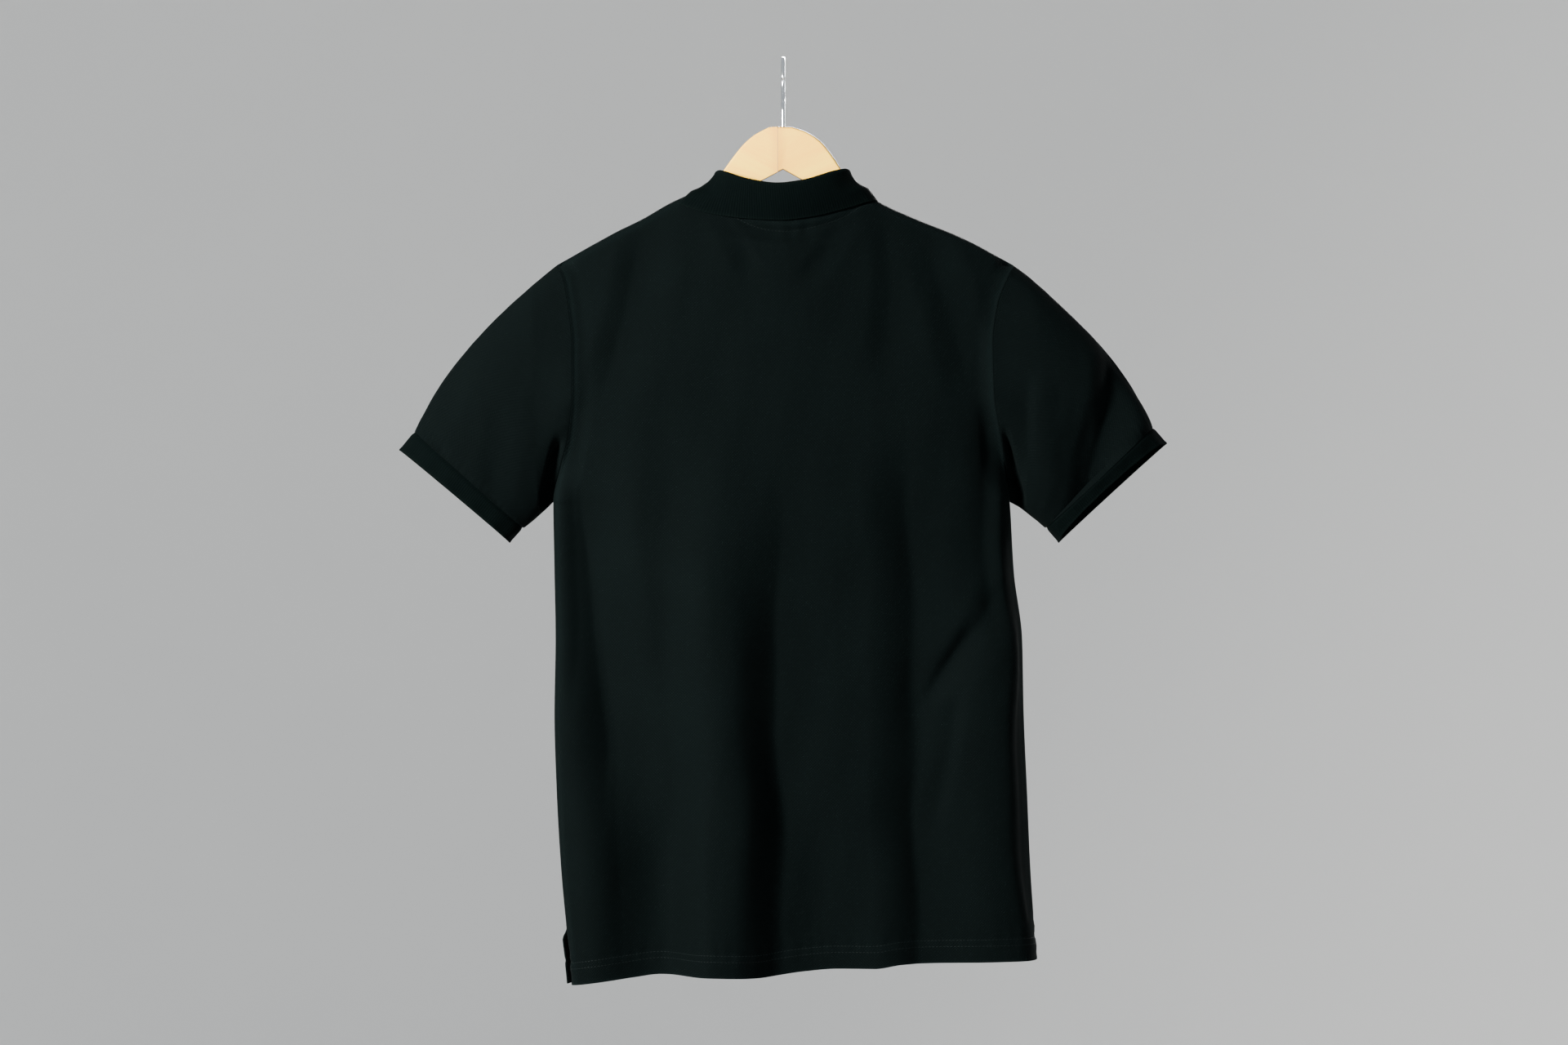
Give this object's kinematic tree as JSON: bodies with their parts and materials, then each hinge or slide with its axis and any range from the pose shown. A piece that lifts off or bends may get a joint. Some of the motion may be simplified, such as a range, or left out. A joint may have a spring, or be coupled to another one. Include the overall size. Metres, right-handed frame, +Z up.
{
  "type": "polo shirt on a hanger",
  "caption": "Short-sleeved polo shirt with a ribbed collar, ribbed cuffs and a buttoned placket, hanging on a flat wooden hanger with a wire hook.",
  "frame": {"origin": "inside of the crown of the hook, where it rests on a rail", "axes": "+Z up, +Y towards the shirt's front, +X towards the shirt's right sleeve as seen from behind (the wearer's right)"},
  "size_m": [0.704, 0.1207, 0.851],
  "materials": {
    "pique_knit": "near-black cotton piqué knit, matt",
    "rib_knit": "near-black cotton rib knit, matt",
    "button": "dark moulded resin, low sheen",
    "hanger_wood": "pale close-grained wood, clear satin lacquer",
    "hook_wire": "bright chrome-plated steel wire"
  },
  "bodies": {
    "root": {"back_panel": "pique_knit", "front_panel": "pique_knit", "placket_over": "pique_knit", "placket_under": "pique_knit", "left_sleeve": "pique_knit", "right_sleeve": "pique_knit", "collar": "rib_knit", "left_cuff": "rib_knit", "right_cuff": "rib_knit", "button_1": "button", "button_2": "button", "button_3": "button", "hanger_left": "hanger_wood", "hanger_right": "hanger_wood", "hook": "hook_wire"}
  },
  "joints": []
}
